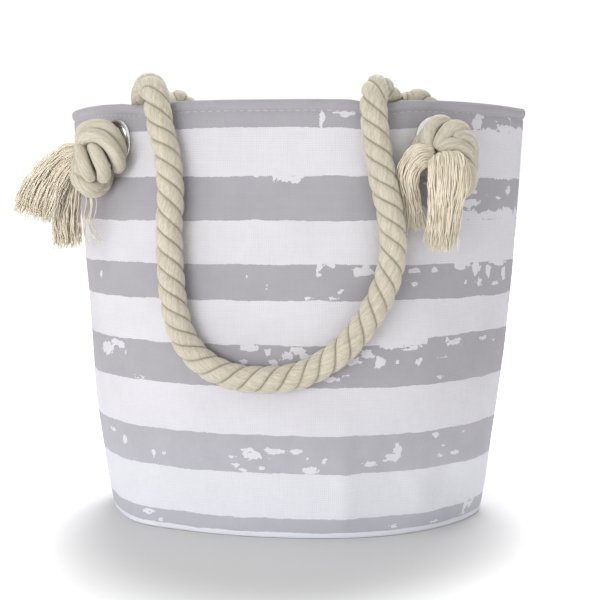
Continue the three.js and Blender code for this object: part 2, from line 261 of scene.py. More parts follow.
# How far the rim stands above the CAD rim, from left to right, in mm. It dips under the ropes.
FRONT_RIM_LIFT = [
    (-125, 3.8), (-110, 3.4), (-90, 3.0), (-78, 2.6), (-68, 1.2), (-56, 1.2), (-46, 2.4), (-20, 2.7),
    (20, 2.5), (40, 2.2), (48, 0.8), (60, 0.6), (68, 2.0), (80, 2.4), (110, 2.4), (125, 2.2),
]
BACK_RIM_LIFT = [
    (-125, 3.8), (-110, 3.2), (-90, 2.4), (-74, 2.2), (-60, 2.4), (-20, 2.6), (20, 2.5),
    (45, 2.2), (54, 0.8), (68, 0.8), (78, 2.2), (110, 2.4), (125, 2.2),
]


def read_off(table, at):
    """Straight lines between the (place, value) pairs of a short table."""
    return float(np.interp(at, [row[0] for row in table], [row[1] for row in table]))


def section_at(z):
    """The bag's section at one height, between the base's and the rim's."""
    up = z / BAG_HEIGHT
    mixed = {key: BASE[key] + (RIM[key] - BASE[key]) * up for key in RIM}
    mixed["half_depth"] += BELLY * 4 * up * (1 - up)
    return mixed


def plain_wall(column, face, z, inset=0.0):
    """The CAD model's wall: column -1 to 1 from the left seam to the right, face -1 in front."""
    s = section_at(min(max(z, 0.0), BAG_HEIGHT))
    x = (s["half_width"] - inset) * math.sin(column * math.pi / 2)
    share = abs(x / (s["half_width"] - inset)) ** s["flatness"]
    depth = (s["half_depth"] - inset) * max(0.0, 1 - share) ** (1 / s["roundness"])
    return Vector((x, face * (depth + SEAM_GAP / 2), z))


def eyelet_place(side, face):
    """Centre and outward normal of the eyelet on one corner."""
    inner, outer = (side * c for c in EYELET_COLUMNS)
    low, high = EYELET_FACET_FOOT, BAG_HEIGHT
    a, b = plain_wall(inner, face, low), plain_wall(outer, face, low)
    c, d = plain_wall(inner, face, high), plain_wall(outer, face, high)
    up = (EYELET_HEIGHT - low) / (high - low)
    centre = a.lerp(b, 0.5).lerp(c.lerp(d, 0.5), up)
    normal = ((b - a) + (d - c)).cross((c - a) + (d - b)).normalized()
    if normal.y * face < 0:
        normal.negate()
    return centre, normal


HALVES = ((-1, "front"), (1, "back"))
CORNERS = {
    "front_left": (-1, -1), "front_right": (1, -1), "back_right": (1, 1), "back_left": (-1, 1),
}
EYELETS = {name: eyelet_place(*at) for name, at in CORNERS.items()}


SEAT_RADIUS = 13.5 * MM  # the wall is flat out to here round an eyelet
SEAT_FADE = 26 * MM  # and is left alone from here
SEAT_REACH = 12 * MM  # a wall further off its plane belongs to the other side
CUT_REACH = 8 * MM


def from_eyelet(point, centre, normal):
    """How far a point is off an eyelet's plane, and how far from its axis."""
    offset = point - centre
    off_plane = offset.dot(normal)
    return off_plane, (offset - normal * off_plane).length


def flattened_at_eyelets(point, inset):
    """Pulls the wall onto the flat seat of an eyelet that is near."""
    for centre, normal in EYELETS.values():
        off_plane, reach = from_eyelet(point, centre, normal)
        if abs(off_plane) <= SEAT_REACH:
            share = 1 - smooth_step(reach, SEAT_RADIUS, SEAT_FADE)
            point = point - normal * (off_plane + inset) * share
    return point


SEAM_REACH = 0.88  # the column from which the cloth is calm towards its seam

# Soft dents and ridges of the front panel: x, z, half width, half height and outward height, in mm.
FRONT_RELIEF = [
    (38, 14, 6, 50, 2.2),
    (60, 24, 12, 24, -2.4),
    (88, 24, 9, 9, -3.2),
    (98, 35, 7, 8, 2.2),
    (74, 18, 5, 12, 1.2),
    (-78, 20, 16, 26, -1.0),
    (-20, 150, 60, 40, -1.0),
    (20, 60, 50, 30, 0.8),
    (96, 120, 12, 60, -0.8),
    (-100, 120, 10, 60, 0.8),
]


def soft_relief(column, face, z, x):
    """How far the cloth stands out of the CAD wall, from dents, ridges and slight waves."""
    height = 0.0
    turned = -face
    for spot_x, spot_z, wide, tall, rise in FRONT_RELIEF:
        from_x = (turned * x / MM - spot_x) / wide
        from_z = (z / MM - spot_z) / tall
        height += rise * math.exp(-(from_x ** 2 + from_z ** 2))
    wave = noise.noise(Vector((x * 22, face * 3.0, z * 14)))
    ripple = noise.noise(Vector((x * 60 + 5, face * 3.0, z * 45)))
    height += 1.3 * wave + 0.35 * ripple
    calm = smooth_step(z, 0, 12 * MM)
    calm *= 1 - smooth_step(z, BAG_HEIGHT - 40 * MM, BAG_HEIGHT - 14 * MM)
    calm *= 1 - smooth_step(abs(column), SEAM_REACH, 1.0)
    return height * calm * MM


def fuller_foot(column, face, z, x):
    """How much squarer the base is at its front left than the CAD's oval."""
    if face > 0:
        return 0.0
    place, reach, most, tall = -76, 20, 6.5 * MM, 80 * MM
    nearness = math.exp(-(((x / MM - place) / reach) ** 2))
    nearness *= 1 - smooth_step(abs(column), SEAM_REACH, 1.0)
    return most * nearness * (1 - smooth_step(z, 0, tall))


def soft_wall(column, face, z, inset=0.0):
    """A point of the cloth wall: the CAD wall with its relief, seam grooves and eyelet seats."""
    point = plain_wall(column, face, z, inset)
    outward = Vector((point.x / 1.6, point.y, 0)).normalized()
    half_width = section_at(z)["half_width"]
    seam = LEFT_SEAM if point.x < 0 else RIGHT_SEAM
    lifts = FRONT_RIM_LIFT if face < 0 else BACK_RIM_LIFT
    lift = read_off(lifts, point.x / MM) * smooth_step(z, BAG_HEIGHT - 30 * MM, BAG_HEIGHT)
    point.x += point.x / half_width * read_off(seam, z / MM) * MM
    point.z += lift * MM
    point += outward * soft_relief(column, face, z, point.x)
    point.y -= fuller_foot(column, face, z, point.x)
    return flattened_at_eyelets(point, inset)


HEM_DEPTH = 5.4 * MM  # from the rim to the top stitching
HEM_INSIDE = 9 * MM  # how far the turned edge reaches down inside
WALL_ROWS = 150  # rows of the panel's mesh between its foot and its hem
WALL_COLUMNS = 240
LINING_ROWS = 44
LINING_COLUMNS = 90


def hem_profile():
    """Rows of the panel as (height, outer inset, inner inset), from the base seam to the rim."""
    cloth = CANVAS / MM
    inner = (LINING_INSET + LINING) / MM + 0.5
    top = BAG_HEIGHT / MM
    turned = top - HEM_INSIDE / MM
    stitched = top - HEM_DEPTH / MM
    foot = [
        (0.15, 1.0, 1.15), (0.4, 0.5, 1.2), (1.0, 0.15, 1.2), (1.9, 0.0, cloth), (2.5, 0.05, cloth),
        (2.9, 0.4, cloth), (3.2, 0.4, cloth), (3.6, 0.0, cloth),
    ]
    wall = [(z, 0.0, cloth) for z in np.linspace(4.6, turned - 1.0, WALL_ROWS)]
    hem = [
        (turned - 0.1, 0.0, cloth), (turned, 0.0, inner - 0.2), (turned + 0.5, 0.0, inner),
        (stitched - 1.0, 0.05, inner), (stitched - 0.35, 0.34, inner - 0.25),
        (stitched + 0.25, 0.36, inner - 0.25), (stitched + 0.8, -0.25, inner),
        (stitched + 1.8, -0.75, inner), (top - 2.4, -0.85, inner), (top - 1.2, -0.6, inner - 0.1),
        (top - 0.5, -0.15, inner - 0.45), (top - 0.1, 0.4, inner - 1.0), (top, 1.0, inner - 1.5),
    ]
    return [(z * MM, outer * MM, inside * MM) for z, outer, inside in foot + wall + hem]


def seam_pinch(column):
    """How far the cloth is drawn in at the side seams."""
    from_seam = (1 - abs(column)) * 100 * MM
    return 0.9 * MM * math.exp(-((from_seam / (1.4 * MM)) ** 2))


def wall_columns(count):
    """Columns from seam to seam, closer together near the seams."""
    even = np.linspace(-1, 1, count)
    return np.sign(even) * (1 - (1 - np.abs(even)) ** 1.25)


def wall_points(face, rows, columns):
    """Column by column, the outer points from the foot to the rim, then the inner ones back down."""
    points = []
    for column in columns:
        pinch = seam_pinch(column)
        points += [soft_wall(column, face, z, outer + pinch) for z, outer, _ in rows]
        points += [soft_wall(column, face, z, inner + pinch) for z, _, inner in rows[::-1]]
    return points


def in_hole(corners):
    """Whether a cell of the wall, given by its four corners, lies in an eyelet's hole."""
    middle = Vector(corners.reshape(-1, 3).mean(axis=0))
    for centre, normal in EYELETS.values():
        off_plane, reach = from_eyelet(middle, centre, normal)
        if abs(off_plane) < CUT_REACH and reach < HOLE_RADIUS:
            return True
    return False


def wall_faces(face, last, count, cut):
    """Quads of the outer and the inner cloth, of its edges, and of the walls of the cut holes."""
    faces = []

    def at(c, k):
        return c * 2 * count + k

    def quad(*corners):
        faces.append(corners if face < 0 else corners[::-1])

    for c in range(last):
        for k in range(count - 1):
            mirror = 2 * count - 1 - k
            if not cut[c, k]:
                quad(at(c, k), at(c + 1, k), at(c + 1, k + 1), at(c, k + 1))
                quad(at(c, mirror - 1), at(c + 1, mirror - 1), at(c + 1, mirror), at(c, mirror))
                continue
            # walls of the hole, wherever the next cell isn't cut
            if k > 0 and not cut[c, k - 1]:
                quad(at(c, k), at(c + 1, k), at(c + 1, mirror), at(c, mirror))
            if k < count - 2 and not cut[c, k + 1]:
                quad(at(c, mirror - 1), at(c + 1, mirror - 1), at(c + 1, k + 1), at(c, k + 1))
            if c > 0 and not cut[c - 1, k]:
                quad(at(c, k + 1), at(c, k), at(c, mirror), at(c, mirror - 1))
            if c < last - 1 and not cut[c + 1, k]:
                quad(at(c + 1, k), at(c + 1, k + 1), at(c + 1, mirror - 1), at(c + 1, mirror))
        quad(at(c, count - 1), at(c + 1, count - 1), at(c + 1, count), at(c, count))
        quad(at(c, 2 * count - 1), at(c + 1, 2 * count - 1), at(c + 1, 0), at(c, 0))
    for k in range(count - 1):
        mirror = 2 * count - 1 - k
        quad(at(0, k), at(0, k + 1), at(0, mirror - 1), at(0, mirror))
        quad(at(last, mirror), at(last, mirror - 1), at(last, k + 1), at(last, k))
    return faces


def wall_shell(face, rows, columns):
    """Points, faces and cloth coordinates of half the bag, with holes for the eyelets."""
    count = len(rows)
    last = len(columns) - 1
    points = wall_points(face, rows, columns)
    grid = np.array(points).reshape(last + 1, 2 * count, 3)
    across = lengths_along(grid[:, count // 2])
    across -= across[-1] / 2
    up = [z for z, _, _ in rows]
    uv = [(a, z) for a in across for z in up + up[::-1]]
    cells = [[in_hole(grid[c : c + 2, k : k + 2]) for k in range(count - 1)] for c in range(last)]
    return points, wall_faces(face, last, count, np.array(cells)), uv


# Where the print is worn away on the front: x, z, half width, half height (mm), how much.
WORN_SPOTS = [
    # top band
    (27, 208, 1.6, 4, 0.8), (38, 210, 5, 1.2, 0.8), (101, 207, 2.6, 4, 0.85), (106, 203, 5, 2.4, 0.9),
    (116, 205, 6, 2.2, 0.9), (123, 205, 3, 2, 0.85), (117, 211, 1, 1, 0.7), (110, 209, 1, 1, 0.7),
    # second band
    (11, 180, 6, 2.6, 0.9), (-5, 181, 2, 1.4, 0.8), (88, 179, 10, 3, 0.97), (98, 181, 4, 2, 0.9),
    (115, 181, 5, 1.6, 0.9), (80, 162, 12, 3, 0.97), (98, 161, 14, 2.2, 0.97), (117, 161, 7, 3, 0.95),
    (97, 167, 6, 1.8, 0.9), (84, 171, 4, 1.8, 0.85), (112, 170, 1.4, 1.0, 0.85), (106, 172, 1.2, 1.0, 0.8),
    (100, 173, 1, 1, 0.8), (117, 174, 1.5, 2, 0.85),
    # third band
    (-93, 131, 0.9, 2.4, 0.85), (-54, 133, 0.9, 0.8, 0.8), (-8, 132, 1.2, 1.4, 0.85), (1, 126, 0.9, 0.8, 0.8),
    (27, 135, 1.4, 3, 0.85), (32, 137, 2, 1.4, 0.85), (48, 134, 5, 2.2, 0.9), (38, 125, 1.6, 0.8, 0.8),
    (71, 134.5, 3, 1.0, 0.85), (68, 130, 2.4, 1.4, 0.85), (72, 128, 1.6, 1.4, 0.85), (81, 134, 1.6, 1.6, 0.9),
    (94, 137, 4, 2, 0.9), (101, 135, 2, 3, 0.85), (107, 132, 1.2, 4, 0.9), (103, 128, 1.4, 2.4, 0.85),
    (112, 137, 4, 1.6, 0.9), (96, 128, 1, 1.4, 0.75), (111, 126, 2, 1.2, 0.85), (22, 121, 3, 0.9, 0.8),
    (34, 121, 3, 0.9, 0.8), (115, 131, 1.2, 2.4, 0.8),
    # fourth band
    (-89, 92, 4, 3.4, 0.97), (-84, 96, 3, 1.4, 0.9), (-79, 94, 2.4, 2.2, 0.9), (-76, 91, 1.4, 1.6, 0.85),
    (-66, 79, 4, 1.4, 0.85), (-8, 97, 5, 1.4, 0.9), (2, 95, 1.4, 2, 0.85), (6, 90, 3, 1.6, 0.9),
    (11, 93, 3, 2, 0.95), (17, 96, 4, 1.6, 0.95), (22, 93, 4, 1.4, 0.9), (-10, 90, 2, 1.4, 0.8),
    (43, 91, 5, 1.6, 0.95), (50, 94, 3, 2.2, 0.9), (56, 90, 2.2, 2.6, 0.85), (60, 99, 5, 2.2, 0.97),
    (70, 97, 6, 1.6, 0.9), (64, 90, 1.6, 1.0, 0.85), (74, 90, 1.4, 1.6, 0.85), (85, 91, 2.6, 0.9, 0.95),
    (90, 98, 3, 1.8, 0.95), (104, 98, 2.6, 1.0, 0.85), (110, 96, 1, 1, 0.8), (96, 91, 0.8, 0.8, 0.75),
    (84, 81, 1.6, 0.9, 0.8), (32, 82, 4, 1.2, 0.85), (40, 84, 2, 0.9, 0.8), (-12, 84, 3, 0.9, 0.7),
    # fifth band
    (-88, 48, 2, 1.2, 0.8), (-79, 44, 1.2, 2.6, 0.9), (-66, 43, 0.9, 0.9, 0.75), (-60, 40, 1.2, 2.2, 0.85),
    (-54, 41, 0.9, 0.9, 0.8), (-51, 47, 1.2, 1.0, 0.85), (-33, 47, 1, 1, 0.75), (-33, 40, 0.9, 0.9, 0.75),
    (-17, 42, 2.2, 1, 0.9), (-9, 46, 3, 1.2, 0.95), (-5, 43, 4, 2.2, 0.97), (4, 46, 5, 1.3, 0.97),
    (16, 46, 3, 1.1, 0.9), (20, 43, 1, 1, 0.85), (-15, 38, 2, 1, 0.9), (-11, 35.5, 2, 1, 0.9),
    (-7, 33, 2, 1, 0.9), (-2, 37, 1.5, 0.8, 0.85), (4, 32, 4, 0.9, 0.85), (29, 42, 1.6, 1.4, 0.9),
    (22, 36, 3.4, 1.6, 0.97), (51, 39, 4.5, 1.0, 0.97), (57, 40, 1, 0.8, 0.8), (62, 42, 3, 1.6, 0.95),
    (64, 46, 1.6, 3, 0.95), (63, 51, 0.9, 0.8, 0.8), (73, 46, 1, 0.8, 0.75), (82, 51, 1.6, 1.2, 0.85),
    (86, 45, 1, 0.8, 0.8), (91, 40, 2.6, 0.9, 0.9), (84, 40, 1.2, 0.8, 0.8), (96, 50, 1.4, 1, 0.75),
    # lowest band
    (-66, 8, 3, 1.4, 0.85), (-58, 5, 2, 1.0, 0.8), (62, 5, 2, 1.0, 0.8), (98, 9, 2.4, 2.4, 0.9),
    (95, 5, 2, 1.2, 0.8), (81, 4.5, 2, 1.0, 0.8),
]


LEAST_WORN = 0.16


def worn_share(x, z, face):
    """How worn the print is at a point, from 0 to about 1."""
    worn = LEAST_WORN
    for spot_x, spot_z, wide, tall, most in WORN_SPOTS:
        from_x = (-face * x / MM - spot_x) / wide
        from_z = (z / MM - spot_z) / tall
        spread = from_x ** 2 + from_z ** 2
        if spread < 9:
            worn = max(worn, 1.1 * most * math.exp(-0.4 * spread))
    return worn


def make_panel(face, side, materials):
    """The canvas of one half of the bag."""
    points, faces, uv = wall_shell(face, hem_profile(), wall_columns(WALL_COLUMNS))
    panel = mesh_object(f"{side}_canvas", points, faces, materials["printed_canvas"], uv)
    add_attribute(panel, "worn", [worn_share(p[0], p[2], face) for p in points])
    dress(panel, "printed_canvas", f"{side}_panel")
    return panel


def make_lining_half(face, side, materials):
    """The lining of one half of the bag, whose top is caught under the turned hem."""
    heights = np.linspace(4.8 * MM, BAG_HEIGHT - HEM_INSIDE + 1.0 * MM, LINING_ROWS)
    rows = [(z, LINING_INSET + 0.1 * MM, LINING_INSET + LINING) for z in heights]
    points, faces, uv = wall_shell(face, rows, wall_columns(LINING_COLUMNS))
    half = mesh_object(f"{side}_lining", points, faces, materials["lining_fabric"], uv)
    dress(half, "lining_fabric", f"lining_{side}")
    return half


# ---- base ----

def base_outline(inset):
    """The base's oval, inset from the wall's foot, once round."""
    columns = np.sin(np.linspace(-1, 1, 91) * math.pi / 2)
    front = [soft_wall(c, -1, 0.0, inset) for c in columns]
    back = [soft_wall(c, 1, 0.0, inset) for c in columns[::-1]]
    return front[:-1] + back[:-1]


def oval_plate(profile, wave):
    """A plate from (inset, height) rings in mm. Its two faces are closed by rings that shrink to the
    middle, and the upper face has waves of the given height."""
    points = []
    for inset, z in profile:
        ring = base_outline(inset * MM)
        points += [Vector((p.x, p.y, z * MM)) for p in ring]
    count = len(ring)
    faces = tube_faces(len(profile), count)
    steps = 14
    for start, upward in ((0, False), ((len(profile) - 1) * count, True)):
        ring = start
        outline = [points[start + i].copy() for i in range(count)]
        for step in range(1, steps):
            share = 1 - step / steps
            first = len(points)
            for p in outline:
                lift = 0.0
                if upward:
                    lift = wave * noise.noise(Vector((p.x * share * 30, p.y * share * 30, 0)))
                    lift *= smooth_step(1 - share, 0, 0.2)
                points.append(Vector((p.x * share, p.y * share, p.z + lift)))
            for i in range(count):
                j = (i + 1) % count
                corners = (ring + i, ring + j, first + j, first + i)
                faces.append(corners if upward else corners[::-1])
            ring = first
        middle = len(points)
        points.append(Vector((0, 0, outline[0].z)))
        faces += fan_faces(ring, count, middle, reverse=not upward)
    return points, faces, [(p.x, p.y) for p in points]


# Name, CAD node, slot, rings as (inset, height) in mm, and how high its upper face's waves are.
BASE_PLATES = [
    ("base_canvas", "base_panel", "plain_canvas",
     [(2.4, 0.0), (1.75, 0.1), (1.45, 0.5), (1.6, 1.0), (2.2, 1.2)], 0.0),
    ("base_board", "base_stiffener", "stiffener_board",
     [(3.4, 1.5), (2.9, 1.8), (2.9, 3.2), (3.4, 3.5)], 0.0),
    ("lining_floor", "lining_base", "lining_fabric", [(3.2, 3.9), (2.7, 4.2), (2.6, 4.6)], 0.5 * MM),
]


def make_base(materials):
    """The canvas base, its board and its lining."""
    made = []
    for name, node, slot, profile, wave in BASE_PLATES:
        points, faces, uv = oval_plate(profile, wave)
        plate = mesh_object(name, points, faces, materials[slot], uv)
        dress(plate, slot, node)
        made.append(plate)
    return made


# ---- stitching ----

def stitch(start, end, outward, thickness):
    """One stitch: a short fat thread that dives into the cloth at both ends."""
    steps, sides = 6, 6
    along = end - start
    across = along.cross(outward).normalized()
    points = []
    for i in range(steps + 1):
        t = i / steps
        lift = math.sin(math.pi * t) ** 0.6
        centre = start + along * t + outward * (thickness * (0.95 * lift - 0.45))
        radius = thickness * (0.5 if 0 < i < steps else 0.28)
        for s in range(sides):
            angle = 2 * math.pi * s / sides
            points.append(centre + (across * math.cos(angle) + outward * math.sin(angle)) * radius)
    return points, tube_faces(steps + 1, sides, capped=True), [(0.0, 0.0)] * len(points)


STITCH_PITCH = 3.9 * MM
STITCH_LENGTH = 2.5 * MM
THREAD = 0.34 * MM  # its thickness, and how deep in the cloth it lies


def stitched_line(face, z):
    """A run of stitches along the wall at one height, from near one side seam to the other."""
    fine = [soft_wall(c, face, z, THREAD) for c in np.linspace(-0.985, 0.985, 600)]
    line = resample(np.array(fine), STITCH_PITCH)
    parts = []
    draw = random.Random(11)
    for here, there in zip(line[:-1], line[1:]):
        a, b = Vector(here), Vector(there)
        outward = (b - a).cross(Vector((0, 0, 1))).normalized()
        if outward.y * face < 0:
            outward.negate()
        wobble = Vector((0, 0, draw.uniform(-0.12, 0.12) * MM))
        share = STITCH_LENGTH / STITCH_PITCH * draw.uniform(0.9, 1.08)
        parts.append(stitch(a + wobble, a.lerp(b, share) - wobble, outward, THREAD))
    return merge_meshes(parts)


def make_stitching(materials):
    """The top stitching of the hem, which has no solid of its own in the CAD."""
    for face, side in HALVES:
        points, faces, uv = stitched_line(face, BAG_HEIGHT - HEM_DEPTH)
        run = mesh_object(f"rim_stitching_{side}", points, faces, materials["thread"], uv)
        dress(run, "plain_canvas")


# ---- eyelets ----

def lathe(profile, centre, axis):
    """A ring from (radius, height) pairs that close on themselves, turned about an axis."""
    across = axis.orthogonal().normalized()
    around = axis.cross(across)
    sides = 72
    points, faces, uv = [], [], []
    for i in range(sides):
        angle = 2 * math.pi * i / sides
        out = across * math.cos(angle) + around * math.sin(angle)
        points += [centre + out * r + axis * h for r, h in profile]
        uv += [(angle * FLANGE_RADIUS, h) for _, h in profile]
    count = len(profile)
    for i in range(sides):
        j = (i + 1) % sides
        for k in range(count):
            n = (k + 1) % count
            faces.append((i * count + k, j * count + k, j * count + n, i * count + n))
    return points, faces, uv


def rounded(points):
    """Chaikin's corner cutting, twice, on a closed list of pairs."""
    for _ in range(2):
        cut = []
        for (ax, ay), (bx, by) in zip(points, points[1:] + points[:1]):
            cut.append((ax * 0.75 + bx * 0.25, ay * 0.75 + by * 0.25))
            cut.append((ax * 0.25 + bx * 0.75, ay * 0.25 + by * 0.75))
        points = cut
    return points


def make_eyelets(materials):
    """Each eyelet's flanged barrel and its washer, from (radius, height) in mm round their axis."""
    flange = [
        (7.2, -4.6), (7.2, 0.8), (7.4, 1.7), (8.4, 2.35), (9.8, 2.3), (11.4, 1.75),
        (12.4, 0.9), (12.5, 0.3), (11.8, 0.3), (8.1, 0.3), (8.1, -3.7), (10.3, -3.7),
        (10.4, -4.3), (9.2, -4.8), (8.0, -5.0),
    ]
    washer = [(8.4, -3.4), (12.0, -3.4), (12.2, -3.1), (12.2, -2.6), (8.4, -2.6)]
    for corner, (centre, normal) in EYELETS.items():
        for part, profile in (("eyelet", flange), ("eyelet_washer", washer)):
            shape = rounded([(r * MM, h * MM) for r, h in profile])
            points, faces, uv = lathe(shape, centre, normal)
            ring = mesh_object(f"{corner}_{part}_ring", points, faces, materials["eyelet_metal"], uv)
            dress(ring, "eyelet_metal", f"{corner}_{part}")


# ---- rope ----

STRAND_SIDES = 12  # points round one strand's share of the section
GROOVE = 0.23  # depth of the groove between strands, of the radius


def rope_section(radius):
    """Three soft strands pressed together, once round: angle, radius, and nearness to a groove."""
    section = []
    for strand in range(3):
        for i in range(STRAND_SIDES):
            share = 2 * i / STRAND_SIDES - 1
            share = math.copysign(1 - (1 - abs(share)) ** 1.5, share)
            angle = (strand + 0.5 * share) * 2 * math.pi / 3
            section.append((angle, radius * (1 - GROOVE * abs(share) ** 3.2), abs(share)))
    return section


def rope_mesh(path, radius=ROPE_RADIUS, start_angle=0.0):
    """A twisted rope along a path, laid left-handed: points, faces and cloth coordinates."""
    normals, binormals = transported_frames(path)
    along = lengths_along(path)
    section = rope_section(radius)
    count = len(section)
    points, uv = [], []
    for i, centre in enumerate(path):
        turn = start_angle - 2 * math.pi * along[i] / ROPE_LAY
        for angle, reach, _ in section:
            a = angle + turn
            out = normals[i] * math.cos(a) + binormals[i] * math.sin(a)
            points.append(Vector(centre + out * reach))
            uv.append((a * radius - 0.25 * along[i], along[i]))
    faces = tube_faces(len(path), count)
    for ring in (0, len(path) - 1):
        faces += fan_faces(ring * count, count, len(points), reverse=ring == 0)
        points.append(Vector(path[ring]))
        uv.append((0.0, along[ring]))
    return points, faces, uv


def rope_stretch(name, whole, fine, start, end, material):
    """The part of a whole rope between two of its rings, as a piece of its own."""
    points, _, uv = whole
    count = 3 * STRAND_SIDES
    rings = points[start * count : (end + 1) * count]
    marks = uv[start * count : (end + 1) * count]
    steps = end - start
    faces = tube_faces(steps + 1, count)
    for ring in (0, steps):
        faces += fan_faces(ring * count, count, len(rings), reverse=ring == 0)
        rings = rings + [Vector(fine[start + ring])]
        marks = marks + [marks[ring * count]]
    made = mesh_object(name, rings, faces, material, marks)
    once_round = [near for _, _, near in rope_section(ROPE_RADIUS)]
    add_attribute(made, "groove", once_round * (steps + 1) + [0.0, 0.0])
    return made


def make_handle(name, route, corners, splits, materials):
    """One handle: the loose rope and its two short legs inside, which are put on the bag's body."""
    ends = [EYELETS[c][0] + EYELETS[c][1] * FLANGE_TOP for c in corners]
    control = [ends[0], *(Vector(p) * MM for p in route), ends[1]]
    per_span = 16
    dense = catmull_rom(control, per_span)
    along = lengths_along(dense)
    cuts = [along[int((point + 1) * per_span)] for point in splits]
    fine = resample(dense, ROPE_STEP)
    first, last = (int(np.searchsorted(lengths_along(fine), cut)) for cut in cuts)

    # One whole rope is made first, so that the strands run on through the cuts.
    whole = rope_mesh(fine)
    material = materials["cotton_rope"]
    legs = []
    for corner, start, end in ((corners[0], 0, first), (corners[1], last, len(fine) - 1)):
        side = corner.split("_")[1]
        leg = rope_stretch(f"{name}_{side}_leg", whole, fine, start, end, material)
        dress(leg, "cotton_rope", f"{name}_{side}_inner_leg")
        legs.append(leg)
    rope = rope_stretch(f"{name}_rope", whole, fine, first, last, material)
    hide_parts(f"{name}_drape", f"{name}_left_bend", f"{name}_right_bend")
    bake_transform(rope)
    return rope, legs, fine[first : last + 1]


# ---- knots and tassels ----

KNOT_TURN = math.radians(9)  # both front knots are given as seen a little from the right


def knot_axes():
    """Directions right, up and out in which the front knots' points are given."""
    right = np.array((math.cos(KNOT_TURN), math.sin(KNOT_TURN), 0.0))
    out = np.array((math.sin(KNOT_TURN), -math.cos(KNOT_TURN), 0.0))
    return right, np.array((0.0, 0.0, 1.0)), out


def placed(centre, points, shift):
    """Points given as (right, up, out) in millimetres from the eyelet, moved a little, in the frame."""
    right, up, out = knot_axes()
    moved = [np.add(p, shift) for p in points]
    return np.array([np.array(centre) + (right * u + up * v + out * w) * MM for u, v, w in moved])


def tube_mesh(path, radius, shares, sides, lean=0.0):
    """A round tube along a path; shares has its thickness at each point, as parts of the radius."""
    normals, binormals = transported_frames(path)
    along = lengths_along(path)
    points, uv = [], []
    for i, centre in enumerate(path):
        for s in range(sides):
            angle = 2 * math.pi * s / sides
            out = normals[i] * math.cos(angle) + binormals[i] * math.sin(angle)
            points.append(Vector(centre + out * (radius * shares[i])))
            uv.append((angle * radius + lean * along[i], along[i]))
    return points, tube_faces(len(path), sides, capped=True), uv


def strand_mesh(path, radius):
    """One soft strand: a tube that rounds off at both ends, with its yarns turning slowly."""
    along = lengths_along(path)
    from_end = np.minimum(1.0, np.minimum(along, along[-1] - along) / radius)
    shares = np.sqrt(np.maximum(0.02, 1 - (1 - from_end) ** 2))
    return tube_mesh(path, radius, shares, sides=20, lean=0.35)


def yarn_mesh(path, radius):
    """One thin yarn along a path, narrowing at its loose end."""
    shares = 1 - 0.5 * np.linspace(0, 1, len(path)) ** 5
    return tube_mesh(path, radius, shares, sides=4)


# Each strand that shows in a knot: its radius, then its path as (right, up, out) from the eyelet.
LEFT_STRANDS = [
    (3.7, [(-13, -4, 4), (-14.5, 1, 10), (-13, 6.5, 15), (-7, 8.6, 18), (-1, 7.6, 18.5), (3, 3, 17.5),
           (4.8, -3, 15), (3, -8, 10)]),
    (3.7, [(-13.5, -4, 11), (-13.4, 1.5, 17), (-9.4, 3.8, 21), (-3.5, 3, 23), (1.2, -0.8, 23.7),
           (4.0, -5.8, 22), (4.8, -9.8, 18), (2.4, -11.6, 11)]),
    (3.6, [(-8.4, -0.3, 16), (-6.4, -2.8, 21.5), (-4.2, -7, 24.8), (-2.3, -11.6, 24.6),
           (-2.2, -14.8, 21), (-3.8, -16, 15), (-6, -15, 9)]),
    (3.6, [(-14.8, -0.6, 13), (-13.8, -4, 19.3), (-12.4, -8.4, 22.4), (-10.8, -12.6, 22.6),
           (-9.9, -15.2, 19), (-10.6, -15.6, 12)]),
    (3.6, [(-14, -3, 2), (-17, -6, 0), (-16, -12, -3), (-11, -16, -2), (-5, -15, 2)]),
    (3.6, [(-12, 5, 8), (-9, 8, 9), (-3, 7, 8), (1, 3, 8), (1, -3, 8)]),
    (3.6, [(-15.5, -2, 6), (-13, -7, 9), (-9, -9, 12), (-4, -8, 14)]),
]
# The twisted rope itself where it shows: its radius, the angle its strands start at, and its path.
LEFT_ROPES = [
    (6.2, 2.2, [(-12, -5, 7), (-14.4, -8.5, 9.5), (-15, -14, 12), (-13, -19, 13), (-9, -20.6, 9.5),
                (-6.2, -17, 4.5), (-5, -12, 2)]),
    (6.3, 0.0, [(0, 0, 0), (-2.6, -0.6, 5.5), (-4.6, -2.5, 10), (-6.5, -6, 13), (-9, -9, 14)]),
]
RIGHT_STRANDS = [
    (3.3, [(-4, -9, 8), (-7.4, -5, 9), (-7.8, -1, 10), (-5.8, 2.8, 11), (-2, 5, 11)]),
    (3.7, [(-3, -5, 14), (-3.8, 1.5, 15.5), (-2.6, 7, 15), (0.8, 10.8, 13), (5, 11, 10), (8, 8, 7)]),
    (3.7, [(1.3, -2.6, 16.5), (3.2, 3, 17.8), (7, 7.8, 16.5), (11.5, 8.6, 14), (14.8, 5.4, 10),
           (15.5, 0, 6)]),
    (3.5, [(7.5, 2.6, 18), (12, 4.4, 16.5), (16.4, 3.0, 12.5), (18.2, -2, 9.5), (17.8, -8.5, 8),
           (15.5, -13, 6)]),
    (3.8, [(1.5, -3, 19), (6.5, -0.2, 20.4), (12, -1.0, 18), (16, -4.6, 14.5), (17.6, -10, 12),
           (16.4, -15, 9)]),
    (4.2, [(4, -5.5, 20), (8.6, -7.2, 21), (13.4, -10.2, 18.5), (16.6, -15, 15), (15.6, -20, 10),
           (12.6, -22, 5)]),
    (3.7, [(7, -9.5, 19.6), (10.6, -14, 18), (12.8, -18.6, 14.5), (12.4, -22.6, 9), (9.5, -23.4, 4)]),
    (3.8, [(14, 6, 4), (18, 0, 2), (17.5, -7, 1), (14, -13, 0.5)]),
]
